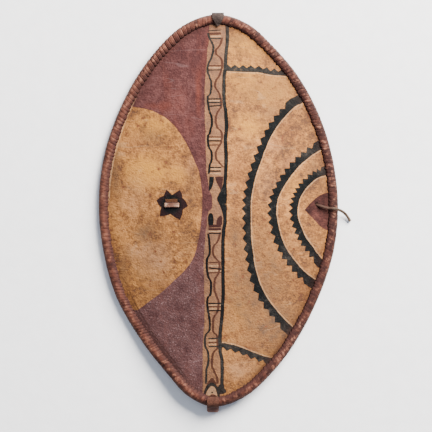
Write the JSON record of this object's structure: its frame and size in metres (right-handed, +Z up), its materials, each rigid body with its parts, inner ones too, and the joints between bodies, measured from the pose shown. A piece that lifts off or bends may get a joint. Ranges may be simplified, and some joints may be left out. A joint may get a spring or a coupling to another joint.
{
  "type": "hide shield",
  "caption": "Oval domed rawhide shield with a whipped leather rim, a wooden stave behind it and a painted face.",
  "frame": {"origin": "on the ground under the middle of the length, as the shield lies on its back", "axes": "+Z up out of the painted face, +Y along the length towards the upper tip, +X across"},
  "size_m": [0.5693, 0.9, 0.0695],
  "materials": {
    "painted_hide": "dry rawhide with earth paint",
    "rim_leather": "worn, reddened",
    "dark_wood": "hand-worn, satin",
    "grey_leather": "dry, dusty",
    "brown_leather": "dry",
    "pale_leather": "dry",
    "thong_leather": "dry, twisted"
  },
  "bodies": {
    "root": {"hide_panel": "painted_hide", "rim_binding": "rim_leather", "stave": "dark_wood", "upper_tongue": "grey_leather", "lower_tongue": "brown_leather", "star_stitch": "pale_leather", "edge_thong": "thong_leather"}
  },
  "joints": []
}
